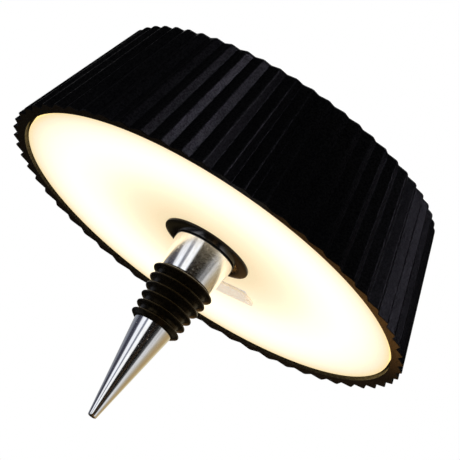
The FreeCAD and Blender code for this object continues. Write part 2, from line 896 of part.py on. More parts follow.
def flap_strap():
    low = diffuser_low - flap_thick
    start = flap_long / 2 + seat_gap
    body = box(-flap_wide / 2, flap_wide / 2, start, start + strap_long, low, diffuser_low)
    far_end = [e for e in body.Edges if e.BoundBox.ZLength > 0.5 and e.BoundBox.YMin > start + 1]
    body = body.makeFillet(flap_wide * 0.17, far_end)
    peg = cylinder(peg_radius, diffuser_low - 0.2, diffuser_high + 0.8, 0, strap_middle())
    return at_port(body.fuse(peg).removeSplitter())


# Wires

def battery_leads(side_x):
    """Two wires, one from each cell's contact at this end, to the driver board's upper face."""
    shapes = []
    near = cell_length / 2 + hole_gap + contact_thickness
    height = cell_height + contact_top - 0.8
    out = inner_half_length() + cradle_wall + 1.2
    for side_y in (-1, 1):
        y0 = side_y * (cell_offset - 2)
        y1 = side_y * 9.0 - side_x * 0.9
        points = [(side_x * near, y0, height), (side_x * out, y0, height), (side_x * out, y1, height),
                  (side_x * battery_lead_foot, y1, height), (side_x * battery_lead_foot, y1, driver_high)]
        shapes.append(lead(points))
    return Part.makeCompound(shapes)


def led_leads():
    shapes = []
    x, y = led_lead_hole
    low = led_board_low - 1.6
    for side in (-1, 1):
        across = y + side * lead_spacing / 2
        points = [(led_board_inner + 2.5, across, led_board_low), (led_board_inner + 2.5, across, low),
                  (x, across, low), (x, across, driver_low)]
        shapes.append(lead(points, bend=1.2))
    return Part.makeCompound(shapes)


def switch_leads():
    shapes = []
    for side in (-1, 1):
        y = side * lead_spacing / 2
        middle = (switch_board_low + driver_high) / 2
        points = [(switch_lead_head, y, switch_board_low), (switch_lead_head, y, middle + 2.0),
                  (switch_lead_foot, y, middle - 2.0), (switch_lead_foot, y, driver_high)]
        shapes.append(lead(points))
    return Part.makeCompound(shapes)


def charge_leads():
    """Two wires from the charge board, out of the sleeve's window and up through the tray."""
    shapes = []
    x, y = charge_lead_hole
    height = tray_low - 1.9
    for side in (-1, 1):
        start = side * charge_lead_spacing * 0.75
        run = x - side * charge_lead_spacing / 2
        points = [(socket_wide / 2, start, height), (run, start, height), (run, y, height),
                  (run, y, driver_low)]
        shapes.append(at_port(lead(points, bend=1.2)))
    return Part.makeCompound(shapes)


def main():
    pieces = {
        "neck": neck(),
        "rubber_sleeve": rubber_sleeve(),
        "cone": cone(),
        "stud": stud(),
        "slip_washer": slip_washer(),
        "shade": shade(),
        "top_cover": top_cover(),
        "cover_screws": cover_screws(),
        "button_ring": button_ring(),
        "button_cap": button_cap(),
        "switch_board": switch_board(),
        "switch_screws": switch_screws(),
        "tact_switch": tact_switch(),
        "switch_plunger": switch_plunger(),
        "diffuser": diffuser(),
        "collar": collar(),
        "collar_screws": collar_screws(),
        "light_tray": light_tray(),
        "tray_screws": tray_screws(),
        "centre_column": centre_column(),
        "threaded_insert": threaded_insert(),
        "column_screws": column_screws(),
        "led_board": led_board(),
        "leds": leds(),
        "led_board_screws": led_board_screws(),
        "battery_cell_front": battery_cell(-1),
        "battery_cell_back": battery_cell(1),
        "battery_cradle_front": battery_cradle(-1),
        "battery_cradle_back": battery_cradle(1),
        "battery_contacts": battery_contacts(),
        "driver_board": driver_board(),
        "driver_screws": driver_screws(),
        "inductor": inductor(),
        "capacitors": capacitors(),
        "driver_chips": driver_chips(),
        "port_sleeve": port_sleeve(),
        "usb_socket": usb_socket(),
        "charge_board": charge_board(),
        "port_flap": port_flap(),
        "flap_strap": flap_strap(),
        "battery_leads_plus": battery_leads(1),
        "battery_leads_minus": battery_leads(-1),
        "led_leads": led_leads(),
        "switch_leads": switch_leads(),
        "charge_leads": charge_leads(),
    }
    for node, shape in pieces.items():
        save(node, shape)


main()
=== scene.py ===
import bpy
import math
from mathutils import Matrix, Vector


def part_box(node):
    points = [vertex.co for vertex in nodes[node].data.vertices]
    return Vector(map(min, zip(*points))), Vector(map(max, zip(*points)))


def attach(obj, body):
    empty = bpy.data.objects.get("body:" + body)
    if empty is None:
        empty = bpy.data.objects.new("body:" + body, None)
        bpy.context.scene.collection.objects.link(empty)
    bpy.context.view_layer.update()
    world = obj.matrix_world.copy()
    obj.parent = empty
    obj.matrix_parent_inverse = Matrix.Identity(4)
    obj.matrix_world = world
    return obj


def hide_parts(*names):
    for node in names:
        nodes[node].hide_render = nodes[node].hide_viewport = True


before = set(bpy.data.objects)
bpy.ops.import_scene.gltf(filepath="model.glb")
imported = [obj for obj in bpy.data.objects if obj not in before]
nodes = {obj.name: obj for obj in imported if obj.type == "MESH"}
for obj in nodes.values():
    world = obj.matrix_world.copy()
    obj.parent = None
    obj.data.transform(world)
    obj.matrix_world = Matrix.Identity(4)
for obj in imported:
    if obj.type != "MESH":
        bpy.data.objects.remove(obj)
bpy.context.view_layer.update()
mm = 0.001


def heights(name):
    """A solid's lowest and highest points, in mm above the bottle's mouth."""
    return [round(corner.z / mm, 2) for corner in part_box(name)]


# Heights in mm that the dressed pieces take from the solids
neck_low, neck_high = heights("neck")
cone_tip = heights("cone")[0]
sleeve_low = heights("rubber_sleeve")[0]
stud_low, stud_high = heights("stud")
collar_low = heights("collar")[0]
diffuser_low, diffuser_high = heights("diffuser")
chip_low, chip_high = heights("leds")
can_low, can_high = heights("capacitors")
cell_top = heights("battery_cell_front")[1]
cap_low = heights("button_cap")[0]
cover_high = heights("top_cover")[1]

# Other sizes in mm
stud_hole = 4.0         # radius of the holes in neck and cone that take the stud
thread_pitch = 1.25
spigot_radius = 6.0     # the cone's spigot, inside the sleeve
spigot_gap = 0.1
sleeve_foot = 7.28      # radius where the sleeve meets the cone
rib_count = 6
rib_pitch = 3.48
top_rib_radius = 11.8
bottom_rib_radius = 9.5
top_rib_height = 0.9
rib_depth = 2.4
rib_taper = 1.5         # above 1, so the ribs shrink quickly at first
rib_round = 0.38        # radius of a rib's rounded lip
collar_bore = 4.6
collar_shank = 11.0     # radius of the part that fills the diffuser's hole
port_circle = 30.4      # the charging port's middle, from the lamp's axis
port_turn = math.radians(59)
flap_wide = 9.0
flap_long = 17.0
flap_thick = 0.86
flap_drop = 0.45        # from the diffuser's underside down to the flap's middle
strap_long = 3.4
strap_middle = 10.5     # along the flap, from the port's middle
chip_circle = 45.0
chip_count = 36
chip_long = 3.5
chip_wide = 2.8
can_radius = 3.15
cell_aside = 26.0
cell_radius = 9.2
cell_half = 32.5
ring_bore = 10.3
ring_radius = 12.5
cap_radius = 10.0
cap_flange = 11.6
cap_flange_low = 59.4
cap_flange_high = 60.7

weld = 0.004 * mm       # corners nearer than this become one


# Making pieces

def deselect():
    if bpy.context.object and bpy.context.object.mode != "OBJECT":
        bpy.ops.object.mode_set(mode="OBJECT")
    bpy.ops.object.select_all(action="DESELECT")


def only(obj):
    """Selects one object alone, ready for an operator."""
    deselect()
    obj.select_set(True)
    bpy.context.view_layer.objects.active = obj


def smooth(obj, degrees=32):
    only(obj)
    bpy.ops.object.shade_smooth_by_angle(angle=math.radians(degrees))


def settle(obj):
    """Puts the object's place, turn and scale into its mesh."""
    only(obj)
    bpy.ops.object.transform_apply(location=True, rotation=True, scale=True)


def arc(centre, radius, start, end, steps):
    """Points of a profile's rounded corner, in mm and degrees."""
    points = []
    for k in range(steps + 1):
        turn = math.radians(start + (end - start) * k / steps)
        points.append((centre[0] + radius * math.cos(turn), centre[1] + radius * math.sin(turn)))
    return points


def profile_line(name, profile):
    """One corner extruded along (radius, height) points in mm, left in edit mode.

    The select mode is set because pick leaves its own behind, and a corner is lost in face mode.
    """
    deselect()
    bpy.ops.mesh.primitive_plane_add(size=mm, location=(0, 0, 0))
    obj = bpy.context.object
    obj.name = name
    bpy.ops.object.mode_set(mode="EDIT")
    bpy.ops.mesh.select_mode(type="VERT")
    bpy.ops.mesh.select_all(action="SELECT")
    bpy.ops.mesh.merge(type="CENTER")
    first_radius, first_height = profile[0]
    bpy.ops.transform.translate(value=(first_radius * mm, 0, first_height * mm))
    for before, after in zip(profile, profile[1:]):
        step = ((after[0] - before[0]) * mm, 0, (after[1] - before[1]) * mm)
        bpy.ops.mesh.extrude_region_move(TRANSFORM_OT_translate={"value": step})
    return obj


def lathe(name, profile, segments=128, sharp=32):
    """A turned piece: the profile is spun about the lamp's axis, and edges over sharp degrees stay sharp."""
    obj = profile_line(name, profile)
    bpy.ops.mesh.select_all(action="SELECT")
    bpy.ops.mesh.spin(steps=segments, angle=2 * math.pi, center=(0, 0, 0), axis=(0, 0, 1))
    bpy.ops.mesh.select_all(action="SELECT")
    bpy.ops.mesh.remove_doubles(threshold=weld)
    bpy.ops.mesh.normals_make_consistent(inside=False)
    bpy.ops.object.mode_set(mode="OBJECT")
    smooth(obj, sharp)
    return obj


def block(name, size, middle):
    """A box, sized and placed in mm, to be shaped further."""
    deselect()
    place_at = [v * mm for v in middle]
    bpy.ops.mesh.primitive_cube_add(size=1.0, location=place_at, scale=[v * mm for v in size])
    obj = bpy.context.object
    obj.name = name
    settle(obj)
    return obj


def pick(obj, kind, test):
    """Selects the faces or edges whose middle, and normal or run, pass a test, and enters edit mode."""
    only(obj)
    bpy.ops.object.mode_set(mode="EDIT")
    bpy.ops.mesh.select_mode(type=kind)
    bpy.ops.mesh.select_all(action="DESELECT")
    bpy.ops.object.mode_set(mode="OBJECT")
    mesh = obj.data
    if kind == "FACE":
        for face in mesh.polygons:
            face.select = bool(test(face.center / mm, face.normal))
    else:
        for edge in mesh.edges:
            a, b = (mesh.vertices[v].co for v in edge.vertices)
            edge.select = bool(test((a + b) / 2 / mm, (b - a).normalized()))
    bpy.ops.object.mode_set(mode="EDIT")


def upright(run):
    return abs(run.z) > 0.9


def faces_down(normal):
    return normal.z < -0.9


def copy_of(obj, name):
    made = obj.copy()
    made.data = obj.data.copy()
    made.name = name
    bpy.context.scene.collection.objects.link(made)
    return made


def place(obj, x, y, z, turn=0.0, axis="Z"):
    """Moves a piece made about the origin to its place in mm, with a turn about one axis first."""
    obj.matrix_world = Matrix.Translation((x * mm, y * mm, z * mm)) @ Matrix.Rotation(turn, 4, axis)
    settle(obj)


def at_port(obj):
    """Moves a piece made about the origin, with X outwards, to the charging port."""
    obj.matrix_world = Matrix.Rotation(port_turn, 4, "Z") @ Matrix.Translation((port_circle * mm, 0, 0))
    settle(obj)


def joined(pieces, name):
    deselect()
    for piece in pieces:
        piece.select_set(True)
    bpy.context.view_layer.objects.active = pieces[0]
    bpy.ops.object.join()
    pieces[0].name = name
    return pieces[0]


def dress(obj, material):
    obj.data.materials.clear()
    obj.data.materials.append(material)


def stand_in(obj, body, material, slot, *replaced):
    """Gives a finished piece its material and body, and hides the solids that it stands for."""
    dress(obj, material)
    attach(obj, body)
    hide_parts(*replaced)


# Making materials

def linear(hex_colour):
    """An sRGB hex colour as linear numbers."""
    values = [int(hex_colour[k:k + 2], 16) / 255 for k in (1, 3, 5)]
    return [v / 12.92 if v <= 0.04045 else ((v + 0.055) / 1.055) ** 2.4 for v in values] + [1.0]


def grey(level):
    """A linear grey."""
    return (level, level, level, 1)


def node(tree, kind, settings=None, values=None, links=None, stops=()):
    """Adds a node with its settings, its sockets' values, its links from other nodes and a ramp's stops."""
    made = tree.nodes.new(kind)
    for key, value in (settings or {}).items():
        setattr(made, key, value)
    for key, value in (values or {}).items():
        made.inputs[key].default_value = value
    for key, source in (links or {}).items():
        tree.links.new(source, made.inputs[key])
    if stops:
        stripes = made.color_ramp.elements
        while len(stripes) < len(stops):
            stripes.new(0.5)
        for stripe, (position, colour) in zip(stripes, stops):
            stripe.position = position
            stripe.color = colour
    return made


def blank(name):
    """A new material's node tree with its shader and its object coordinates."""
    material = bpy.data.materials.new(name)
    material.use_nodes = True
    tree = material.node_tree
    shader = tree.nodes["Principled BSDF"]
    where = node(tree, "ShaderNodeTexCoord").outputs["Object"]
    return material, tree, shader, where


def tune(shader, sockets):
    """Sets constants on a shader's sockets."""
    for key, value in sockets.items():
        shader.inputs[key].default_value = value


def coat(tree, shader, tint, dull, bump=None):
    """Links a colour, a roughness and a bump to the shader."""
    tree.links.new(tint, shader.inputs["Base Color"])
    tree.links.new(dull, shader.inputs["Roughness"])
    if bump:
        tree.links.new(bump.outputs["Normal"], shader.inputs["Normal"])


def grained(name, dark, light, grain, rough, relief, ior=1.5, specular=0.5):
    """A surface with a fine even grain: grain is its period in mm, relief its depth in mm."""
    material, tree, shader, where = blank(name)
    fine = node(tree, "ShaderNodeTexNoise", values={"Scale": 1 / (grain * mm), "Detail": 2.0},
                links={"Vector": where})
    cloud = node(tree, "ShaderNodeTexNoise", values={"Scale": 70.0, "Detail": 3.0}, links={"Vector": where})
    tint = node(tree, "ShaderNodeValToRGB", links={"Fac": fine.outputs["Fac"]},
                stops=[(0.35, linear(dark)), (0.68, linear(light))])
    uneven = node(tree, "ShaderNodeMath", {"operation": "ADD"},
                  links={0: cloud.outputs["Fac"], 1: fine.outputs["Fac"]})
    dull = node(tree, "ShaderNodeMapRange",
                values={"From Min": 0.7, "From Max": 1.3, "To Min": rough[0], "To Max": rough[1]},
                links={"Value": uneven.outputs[0]})
    bump = node(tree, "ShaderNodeBump", values={"Strength": 0.4, "Distance": relief * mm},
                links={"Height": fine.outputs["Fac"]})
    coat(tree, shader, tint.outputs["Color"], dull.outputs["Result"], bump)
    tune(shader, {"IOR": ior, "Specular IOR Level": specular})
    return material


def worked_metal(name, dark, light, run, rough, relief):
    """Metal with fine marks along its working: run is the marks' size in mm along X, Y and Z."""
    material, tree, shader, where = blank(name)
    stretched = node(tree, "ShaderNodeMapping", values={"Scale": [1 / (v * mm) for v in run]},
                     links={"Vector": where})
    marks = node(tree, "ShaderNodeTexNoise", values={"Scale": 1.0, "Detail": 4.0, "Roughness": 0.65},
                 links={"Vector": stretched.outputs["Vector"]})
    tint = node(tree, "ShaderNodeValToRGB", links={"Fac": marks.outputs["Fac"]},
                stops=[(0.35, linear(light)), (0.7, linear(dark))])
    dull = node(tree, "ShaderNodeMapRange",
                values={"From Min": 0.35, "From Max": 0.75, "To Min": rough[0], "To Max": rough[1]},
                links={"Value": marks.outputs["Fac"]})
    bump = node(tree, "ShaderNodeBump", values={"Strength": 0.15, "Distance": relief * mm},
                links={"Height": marks.outputs["Fac"]})
    coat(tree, shader, tint.outputs["Color"], dull.outputs["Result"], bump)
    tune(shader, {"Metallic": 1.0})
    return material


def spark_eroded():
    """Moulded in a spark-eroded tool: a dull grain that breaks up the shine into specks on the lit faces.

    The real grain is about 0.1 mm. It is drawn at 0.5 to 0.7 mm, as coarse as it needs to be to show.
    """
    material = grained("moulded ABS black spark grain", "#000001", "#030304", 0.5, (0.34, 0.44), 0.12)
    tree = material.node_tree
    where = node(tree, "ShaderNodeTexCoord").outputs["Object"]
    pits = node(tree, "ShaderNodeTexNoise", values={"Scale": 1500.0, "Detail": 2.0}, links={"Vector": where})
    glint = node(tree, "ShaderNodeMapRange",
                 values={"From Min": 0.38, "From Max": 0.62, "To Min": 0.04, "To Max": 0.18},
                 links={"Value": pits.outputs["Fac"]})
    tree.links.new(glint.outputs["Result"], tree.nodes["Principled BSDF"].inputs["Specular IOR Level"])
    return material


def dusty_rubber():
    """A polished mould gives the rubber its shine and dust dulls it in patches. Its shine is tinted warm
    everywhere: a painted reflection of the lit disc on the ribs' lips.
    """
    material = grained("moulded nitrile rubber black", "#040302", "#0c0905", 1.1, (0.20, 0.33), 0.02,
                       1.52, 0.2)
    # Painted reflection: the warm specular tint stands in for the lit disc's glow on the rubber.
    tune(material.node_tree.nodes["Principled BSDF"], {"Specular Tint": linear("#f0cf90")})
    return material


def silicone_clear():
    """Unpigmented silicone, cloudy. The lit disc's glow coming through it, dimmer and a little pink, is
    painted on as an emission of its own.
    """
    material = grained("moulded silicone clear", "#ecdccd", "#f6ebdf", 0.7, (0.42, 0.55), 0.02, 1.41)
    # Painted light: the emission is the lit disc's glow seen through the flap, which is no lamp itself.
    tune(material.node_tree.nodes["Principled BSDF"], {
        "Transmission Weight": 0.1, "Subsurface Weight": 0.3, "Subsurface Radius": (0.003, 0.0025, 0.002),
        "Subsurface Scale": 1.0, "Emission Color": linear("#9f8f69"), "Emission Strength": 0.45})
    return material


# Half the light that the lit disc gives off, by distance from its middle in mm: warmer than it looks, because
# the eye sees it bleached towards white and its true colour only in what it lights
disc_glow = [
    (20.0, "#9f8e6c"), (24.0, "#a59474"), (30.0, "#ad9b7f"), (37.0, "#b7a88d"),
    (45.0, "#c8bc9f"), (56.0, "#d3c8a8"), (63.0, "#c8bc9f"), (68.0, "#b7a790"),
    (71.5, "#a8967d"), (73.0, "#9e8f6a"), (74.0, "#9e895d"), (74.3, "#e1c076"),
]
disc_reach = 80.0       # mm, past the disc's edge


def lit_opal():
    """Opal acrylic lit from behind by a ring of chips: white over the ring, cream inside it and at its edge.

    Its own colour, seen where it isn't lit, has a fine grain.
    """
    material, tree, shader, where = blank("extruded opal acrylic satin")
    flat = node(tree, "ShaderNodeVectorMath", {"operation": "MULTIPLY"}, {1: (1, 1, 0)}, {0: where})
    radius = node(tree, "ShaderNodeVectorMath", {"operation": "LENGTH"}, links={0: flat.outputs[0]})
    share = node(tree, "ShaderNodeMapRange", values={"From Min": 0.0, "From Max": disc_reach * mm},
                 links={"Value": radius.outputs["Value"]})
    glow = node(tree, "ShaderNodeValToRGB", links={"Fac": share.outputs["Result"]},
                stops=[(distance / disc_reach, linear(colour)) for distance, colour in disc_glow])
    grain = node(tree, "ShaderNodeTexNoise", values={"Scale": 1500.0, "Detail": 2.0}, links={"Vector": where})
    tint = node(tree, "ShaderNodeValToRGB", links={"Fac": grain.outputs["Fac"]},
                stops=[(0.3, linear("#9c968a")), (0.7, linear("#a8a297"))])
    tree.links.new(glow.outputs["Color"], shader.inputs["Emission Color"])
    tree.links.new(tint.outputs["Color"], shader.inputs["Base Color"])
    tune(shader, {"Emission Strength": 2.0, "Roughness": 0.5, "IOR": 1.49, "Specular IOR Level": 0.3})
    return material


def scuffed_polish():
    """Turned and polished: a mirror, scuffed on the neck that hands turn and nearly clean on the cone."""
    material, tree, shader, where = blank("turned aluminium polished")
    drawn = node(tree, "ShaderNodeMapping", values={"Scale": (900, 900, 140)}, links={"Vector": where})
    marks = node(tree, "ShaderNodeTexNoise", values={"Scale": 1.0, "Detail": 4.0, "Roughness": 0.65},
                 links={"Vector": drawn.outputs["Vector"]})
    scuffs = node(tree, "ShaderNodeTexNoise", values={"Scale": 9000.0, "Detail": 1.0},
                  links={"Vector": where})
    specks = node(tree, "ShaderNodeTexNoise", values={"Scale": 1500.0, "Detail": 1.0},
                  links={"Vector": where})
    parts = node(tree, "ShaderNodeSeparateXYZ", links={0: where})
    height = node(tree, "ShaderNodeMapRange", values={"From Min": 2 * mm, "From Max": 14 * mm},
                  links={"Value": parts.outputs["Z"]})
    worn = node(tree, "ShaderNodeMath", {"operation": "MULTIPLY_ADD"}, {1: 0.11},
                {0: height.outputs["Result"], 2: scuffs.outputs["Fac"]})
    spotted = node(tree, "ShaderNodeMath", {"operation": "MULTIPLY_ADD"}, {1: 0.06},
                   {0: height.outputs["Result"], 2: specks.outputs["Fac"]})
    haze = node(tree, "ShaderNodeMapRange",
                values={"From Min": 0.66, "From Max": 0.78, "To Min": 0.09, "To Max": 0.45},
                links={"Value": worn.outputs[0]})
    spots = node(tree, "ShaderNodeMapRange",
                 values={"From Min": 0.75, "From Max": 0.79, "To Min": 0.0, "To Max": 0.6},
                 links={"Value": spotted.outputs[0]})
    rubbed = node(tree, "ShaderNodeMapRange",
                  values={"From Min": -2 * mm, "From Max": 3 * mm, "To Min": 0.09, "To Max": 0.12},
                  links={"Value": parts.outputs["Z"]})
    hazed = node(tree, "ShaderNodeMath", {"operation": "MAXIMUM"},
                 links={0: haze.outputs["Result"], 1: rubbed.outputs["Result"]})
    dull = node(tree, "ShaderNodeMath", {"operation": "MAXIMUM"},
                links={0: hazed.outputs[0], 1: spots.outputs["Result"]})
    tint = node(tree, "ShaderNodeValToRGB", links={"Fac": marks.outputs["Fac"]},
                stops=[(0.35, linear("#f8f6f0")), (0.7, linear("#eae6dc"))])
    bump = node(tree, "ShaderNodeBump", values={"Strength": 0.15, "Distance": 0.02 * mm},
                links={"Height": marks.outputs["Fac"]})
    coat(tree, shader, tint.outputs["Color"], dull.outputs[0], bump)
    tune(shader, {"Metallic": 1.0})
    return material


def board_mask(name, mask_dark, mask_light, copper):
    """Solder mask over etched copper: its tracks and fields show as a lighter tone under the gloss."""
    material, tree, shader, where = blank(name)
    tracks = node(tree, "ShaderNodeTexBrick", {"offset": 0.37, "squash": 0.6},
                  {"Scale": 130.0, "Mortar Size": 0.018, "Mortar Smooth": 0.2, "Brick Width": 0.9,
                   "Row Height": 0.32, "Color1": linear(mask_dark), "Color2": linear(mask_light),
                   "Mortar": linear(copper)}, {"Vector": where})
    dust = node(tree, "ShaderNodeTexNoise", values={"Scale": 500.0, "Detail": 3.0}, links={"Vector": where})
    dull = node(tree, "ShaderNodeMapRange", values={"To Min": 0.22, "To Max": 0.4},
                links={"Value": dust.outputs["Fac"]})
    bump = node(tree, "ShaderNodeBump", values={"Strength": 0.3, "Distance": 0.03 * mm},
                links={"Height": tracks.outputs["Fac"]})
    coat(tree, shader, tracks.outputs["Color"], dull.outputs["Result"], bump)
    return material


def cell_film():
    """Shrink film over the cell's can, cut short at both ends so that bright steel shows there."""
    material, tree, shader, where = blank("shrunk vinyl film on a steel can")
    parts = node(tree, "ShaderNodeSeparateXYZ", links={0: where})
    along = node(tree, "ShaderNodeMath", {"operation": "ABSOLUTE"}, links={0: parts.outputs["X"]})
    bare = node(tree, "ShaderNodeMath", {"operation": "GREATER_THAN"}, {1: (cell_half - 0.6) * mm},
                {0: along.outputs[0]})
    wrinkle = node(tree, "ShaderNodeTexNoise", values={"Scale": 220.0, "Detail": 3.0},
                   links={"Vector": where})
    film = node(tree, "ShaderNodeValToRGB", links={"Fac": wrinkle.outputs["Fac"]},
                stops=[(0.3, linear("#1d5f8f")), (0.7, linear("#26709f"))])
    tint = node(tree, "ShaderNodeMix", {"data_type": "RGBA"}, {7: linear("#c3c4c6")},
                {0: bare.outputs[0], 6: film.outputs["Color"]})
    dull = node(tree, "ShaderNodeMapRange", values={"To Min": 0.2, "To Max": 0.36},
                links={"Value": wrinkle.outputs["Fac"]})
    bump = node(tree, "ShaderNodeBump", values={"Strength": 0.2, "Distance": 0.08 * mm},
                links={"Height": wrinkle.outputs["Fac"]})
    coat(tree, shader, tint.outputs[2], dull.outputs["Result"], bump)
    tree.links.new(bare.outputs[0], shader.inputs["Metallic"])
    return material


def capacitor_sleeve():
    """A plain dark film up the can's side, and the bare bright metal of its top."""
    material, tree, shader, where = blank("sleeved aluminium can")
    parts = node(tree, "ShaderNodeSeparateXYZ", links={0: where})
    bare = node(tree, "ShaderNodeMath", {"operation": "GREATER_THAN"},
                {1: (can_high - 0.25) * mm}, {0: parts.outputs["Z"]})
    fine = node(tree, "ShaderNodeTexNoise", values={"Scale": 900.0, "Detail": 2.0}, links={"Vector": where})
    film = node(tree, "ShaderNodeValToRGB", links={"Fac": fine.outputs["Fac"]},
                stops=[(0.3, linear("#16202e")), (0.7, linear("#1e2a3b"))])
    tint = node(tree, "ShaderNodeMix", {"data_type": "RGBA"}, {7: linear("#c5c6c8")},
                {0: bare.outputs[0], 6: film.outputs["Color"]})
    dull = node(tree, "ShaderNodeMapRange", values={"To Min": 0.25, "To Max": 0.4},
                links={"Value": fine.outputs["Fac"]})
    coat(tree, shader, tint.outputs[2], dull.outputs["Result"])
    tree.links.new(bare.outputs[0], shader.inputs["Metallic"])
    return material


def chip_glow():
    """Yellow phosphor gel in a white case: the gel is the sunk middle of each chip."""
    material, tree, shader, where = blank("phosphor gel in a white case")
    parts = node(tree, "ShaderNodeSeparateXYZ", links={0: where})
    sunk = node(tree, "ShaderNodeMath", {"operation": "GREATER_THAN"}, {1: (chip_low + 0.08) * mm},
                {0: parts.outputs["Z"]})
    low = node(tree, "ShaderNodeMath", {"operation": "LESS_THAN"}, {1: (chip_low + 0.2) * mm},
               {0: parts.outputs["Z"]})
    gel = node(tree, "ShaderNodeMath", {"operation": "MULTIPLY"},
               links={0: sunk.outputs[0], 1: low.outputs[0]})
    grain = node(tree, "ShaderNodeTexNoise", values={"Scale": 2500.0, "Detail": 2.0}, links={"Vector": where})
    case = node(tree, "ShaderNodeValToRGB", links={"Fac": grain.outputs["Fac"]},
                stops=[(0.3, linear("#e4e2da")), (0.7, linear("#efeee8"))])
    phosphor = node(tree, "ShaderNodeValToRGB", links={"Fac": grain.outputs["Fac"]},
                    stops=[(0.3, linear("#e8c23a")), (0.7, linear("#f2d254"))])
    tint = node(tree, "ShaderNodeMix", {"data_type": "RGBA"},
                links={0: gel.outputs[0], 6: case.outputs["Color"], 7: phosphor.outputs["Color"]})
    light = node(tree, "ShaderNodeMix", {"data_type": "RGBA"}, {6: (0, 0, 0, 1), 7: linear("#ffd596")},
                 {0: gel.outputs[0]})
    tree.links.new(tint.outputs[2], shader.inputs["Base Color"])
    tree.links.new(light.outputs[2], shader.inputs["Emission Color"])
    tune(shader, {"Emission Strength": 1.5, "Roughness": 0.4})
    return material


def backdrop_paper():
    """Matt paper that fades into the white behind the object."""
    material, tree, shader, where = blank("matt paper backdrop")
    fibre = node(tree, "ShaderNodeTexNoise", values={"Scale": 900.0, "Detail": 2.0}, links={"Vector": where})
    tint = node(tree, "ShaderNodeValToRGB", links={"Fac": fibre.outputs["Fac"]},
                stops=[(0.3, linear("#fbfbfa")), (0.7, linear("#ffffff"))])
    tree.links.new(tint.outputs["Color"], shader.inputs["Base Color"])
    tune(shader, {"Roughness": 0.9, "Emission Color": grey(1.0), "Emission Strength": 0.07})
    return material


black_shade = spark_eroded()
# Smoother tool: a soft, wide, slightly brown shine
satin_black = grained("moulded acetal satin black", "#050403", "#0b0907", 0.5, (0.14, 0.20), 0.01,
                      specular=0.25)
# Thumbs have rubbed the button, so its grain is glossier than the shade's
button_black = grained("moulded ABS satin button", "#101011", "#18181a", 0.45, (0.26, 0.38), 0.03)
rubber = dusty_rubber()
silicone = silicone_clear()
opal = lit_opal()
# Clean white moulding that spreads the chips' light
white_tray = grained("moulded ABS reflector white", "#e9e8e2", "#f4f3ee", 0.8, (0.42, 0.55), 0.02)
# Glass fibres at the surface break up the shine and show as pale flecks in the dark nylon
fibre_nylon = grained("moulded nylon with glass fibre", "#19191b", "#2c2c2e", 0.35, (0.5, 0.66), 0.05)
# Plain tools leave the hidden mouldings an even, dull black
cradle_black = grained("moulded ABS cradle", "#1b1b1c", "#242425", 0.6, (0.45, 0.58), 0.03)
switch_black = grained("moulded nylon switch body", "#141414", "#1d1d1d", 0.4, (0.45, 0.55), 0.02)
# Punched from rolled sheet: fine even grain and no gloss
nylon_washer = grained("punched nylon sheet", "#171716", "#232321", 0.3, (0.5, 0.62), 0.02)
# Pigmented right through, so the red is even up to its edges
plunger_red = grained("moulded nylon plunger red", "#a31b16", "#b5241c", 0.3, (0.38, 0.5), 0.01)
# Filled epoxy is grey-black and nearly without shine
chip_epoxy = grained("moulded epoxy chip body", "#101011", "#1a1a1b", 0.2, (0.55, 0.7), 0.02)
# Pressed powder, ground on its faces: a stony dark grey
ferrite = grained("pressed ferrite ground", "#2b2b2d", "#3c3c3f", 0.25, (0.5, 0.72), 0.04)
# Vinyl that is extruded over the wire has a soft even gloss
wire_red = grained("extruded vinyl sleeving red", "#a8140f", "#b81d15", 0.9, (0.3, 0.42), 0.01)
wire_black = grained("extruded vinyl sleeving black", "#0f0f0f", "#191919", 0.9, (0.3, 0.42), 0.01)
wire_white = grained("extruded vinyl sleeving white", "#d9d8d2", "#e6e5e0", 0.9, (0.3, 0.42), 0.01)

polished = scuffed_polish()
# Zinc plating is slightly milky and blue
zinc = worked_metal("zinc plated steel", "#a9adb2", "#c6c9cc", (0.5, 0.5, 0.5), (0.28, 0.42), 0.01)
# A satin finish leaves a fine even grain on the ring, which softens what it mirrors
satin_ring = worked_metal("turned aluminium satin", "#bfc1c4", "#d8d9db", (0.25, 0.25, 4.0),
                          (0.26, 0.38), 0.01)
# Turned brass is a warm yellow with the tool's rings round it
brass = worked_metal("turned brass", "#a8843f", "#c9a65c", (2.0, 2.0, 0.15), (0.18, 0.32), 0.01)
# Nickelled strip keeps the faint lines of its rolling
nickel = worked_metal("rolled spring strip nickel plated", "#b9b7b0", "#d3d1ca", (0.2, 4.0, 4.0),
                      (0.22, 0.35), 0.01)
# Drawing leaves faint lines down the shell's sides
drawn_steel = worked_metal("drawn steel tin plated", "#b4b5b7", "#d0d1d2", (0.3, 0.3, 3.0),
                           (0.24, 0.36), 0.01)

green_mask = board_mask("solder mask green over copper", "#0c4a26", "#0e5229", "#1d7a40")
white_mask = board_mask("solder mask white over copper", "#e2e3df", "#e8e9e5", "#f2f2ee")
film = cell_film()
sleeved_can = capacitor_sleeve()
glowing_chip = chip_glow()

# Stopper

# Points close to both ends of the long taper, and a low sharp angle, keep its reflections straight
neck_edge = 14.6
neck_profile = [(stud_hole, neck_low), (9.7, neck_low), (9.94, neck_low + 0.1), (9.954, neck_low + 0.2),
                (11.60, neck_edge - 0.1)]
neck_profile += arc((11.315, neck_edge), 0.3, 0, 90, 4) + [(stud_hole, neck_high), (stud_hole, neck_low)]
neck = lathe("neck_turned", neck_profile, 160, 8)
stand_in(neck, "stopper", polished, "polished_aluminium", "neck")

cone_bore_low = -14.0
tip_radius = 1.1
tip_round = 0.6
cone_profile = [(0.0, cone_tip)] + arc((tip_radius, cone_tip + tip_round), tip_round, -90, 0, 5)
cone_profile += [(sleeve_foot, sleeve_low), (spigot_radius, sleeve_low), (spigot_radius, neck_low),
                 (stud_hole, neck_low), (stud_hole, cone_bore_low), (0.0, cone_bore_low)]
cone = lathe("cone_turned", cone_profile, 160)
stand_in(cone, "stopper", polished, "polished_aluminium", "cone")


